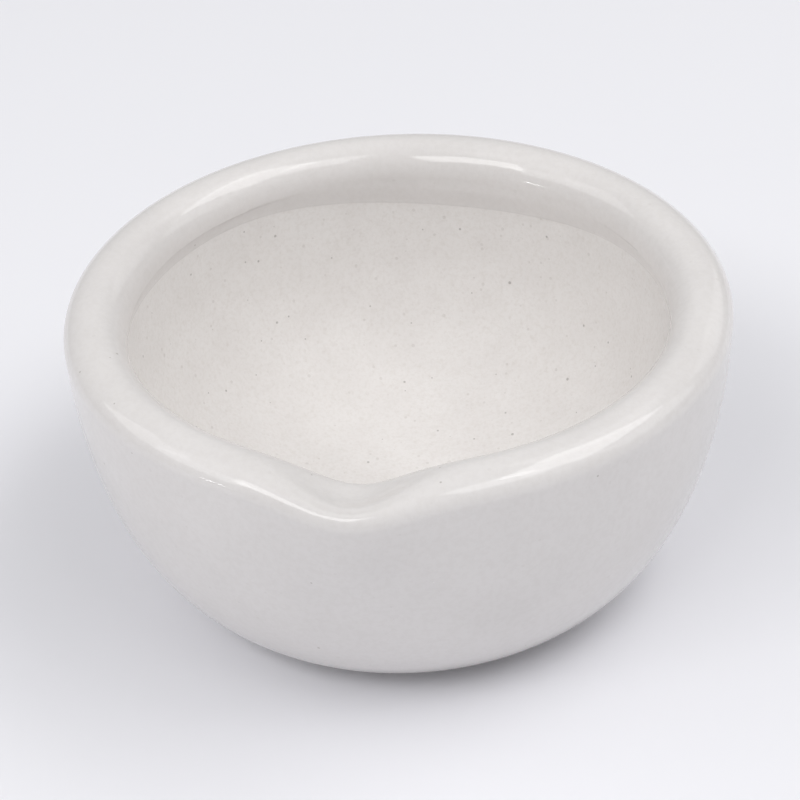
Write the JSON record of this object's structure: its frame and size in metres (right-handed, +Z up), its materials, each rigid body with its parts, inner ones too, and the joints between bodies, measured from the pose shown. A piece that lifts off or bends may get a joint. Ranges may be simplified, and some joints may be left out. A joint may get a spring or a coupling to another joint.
{
  "type": "laboratory mortar",
  "caption": "Thick-walled porcelain grinding bowl with a rounded rim, one pouring lip, a bare biscuit bowl and a clear glaze coat outside.",
  "frame": {"origin": "centre of the flat foot, on the plane the mortar stands on, on the bowl's axis", "axes": "+Z up along the bowl's axis; -Y towards the pouring lip; +X to the right of a person who faces the lip"},
  "size_m": [0.08, 0.0817, 0.038],
  "materials": {
    "biscuit_porcelain": "matte unglazed, finely speckled",
    "clear_glaze": "gloss"
  },
  "bodies": {
    "root": {"porcelain_body": "biscuit_porcelain", "glaze_coat": "clear_glaze"}
  },
  "joints": []
}
